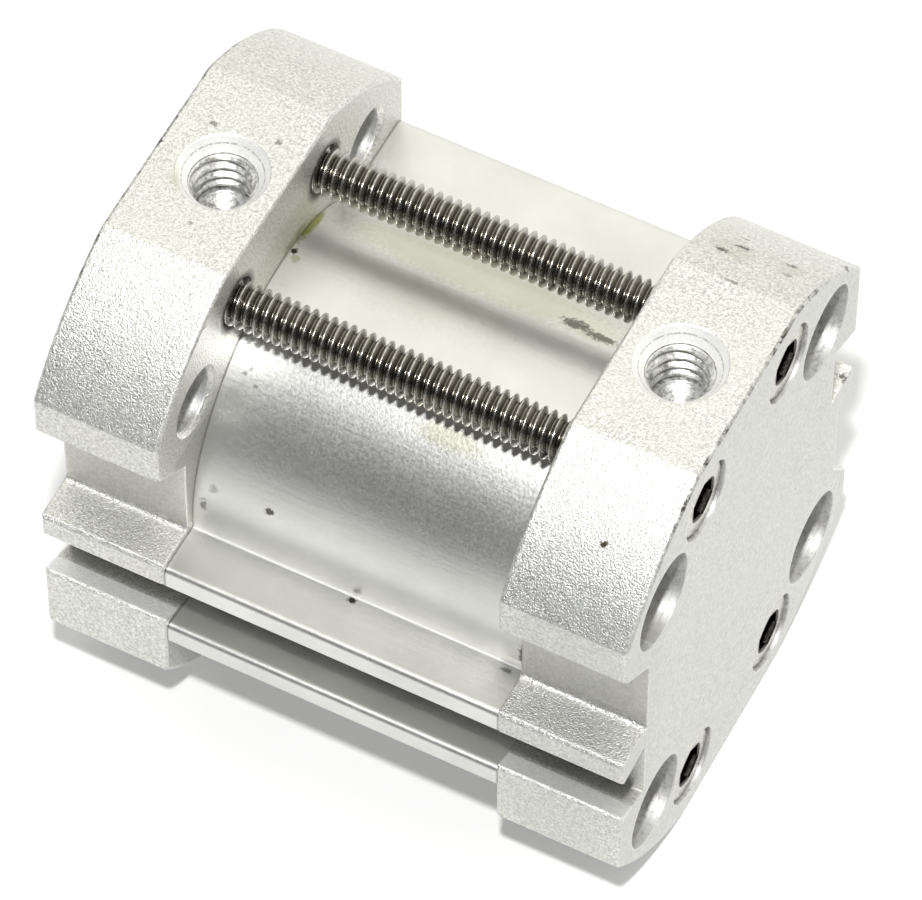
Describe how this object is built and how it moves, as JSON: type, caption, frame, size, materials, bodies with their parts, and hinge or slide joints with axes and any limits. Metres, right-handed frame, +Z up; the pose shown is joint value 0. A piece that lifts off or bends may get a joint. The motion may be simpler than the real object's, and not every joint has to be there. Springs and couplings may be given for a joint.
{
  "type": "compact pneumatic cylinder",
  "caption": "Short tie-screw air cylinder: flatted round end caps with air ports on top, a tube barrel with sensor slots on both sides, and a rod that slides out of the front cap.",
  "frame": {"origin": "on the cylinder axis, in the outer face of the front cap, which is the mounting face the rod comes out of", "axes": "+X along the cylinder axis from the front cap to the rear cap, +Z up towards the air ports, -Y towards the viewer of the picture"},
  "size_m": [0.0515, 0.0376, 0.044],
  "materials": {
    "cap_aluminium": "fine bead-blasted natural silver",
    "barrel_aluminium": "smooth satin natural silver, extruded",
    "piston_aluminium": "turned",
    "screw_steel": "dark oiled steel",
    "rod_chrome": "ground and plated",
    "bush_bronze": "sintered bronze",
    "seal_rubber": "matt black",
    "cushion_rubber": "matt dark grey",
    "guide_plastic": "plain off-white",
    "magnet_black": "bonded magnet, matt"
  },
  "bodies": {
    "housing": {"front_cap": "cap_aluminium", "rear_cap": "cap_aluminium", "barrel": "barrel_aluminium", "tie_screw_upper_near": "screw_steel", "tie_screw_upper_far": "screw_steel", "tie_screw_lower_near": "screw_steel", "tie_screw_lower_far": "screw_steel", "rod_bush": "bush_bronze", "rod_seal": "seal_rubber", "cushion_ring_front": "cushion_rubber", "cushion_ring_rear": "cushion_rubber", "barrel_seal_front": "seal_rubber", "barrel_seal_rear": "seal_rubber"},
    "guide": {"guide_ring": "guide_plastic"},
    "piston": {"piston_rod": "rod_chrome", "piston_front_half": "piston_aluminium", "piston_rear_half": "piston_aluminium", "magnet_ring": "magnet_black", "piston_seal_front": "seal_rubber", "piston_seal_rear": "seal_rubber", "rod_static_seal": "seal_rubber", "piston_screw": "screw_steel"}
  },
  "joints": [
    {"name": "rod_slide", "type": "slide", "parent": "housing", "child": "guide", "axis": [-1, 0, 0], "range_m": [0, 0.01]},
    {"name": "rod_turn", "type": "hinge", "parent": "guide", "child": "piston", "pos_m": [0.0285, 0, 0], "axis": [-1, 0, 0], "continuous": true}
  ]
}
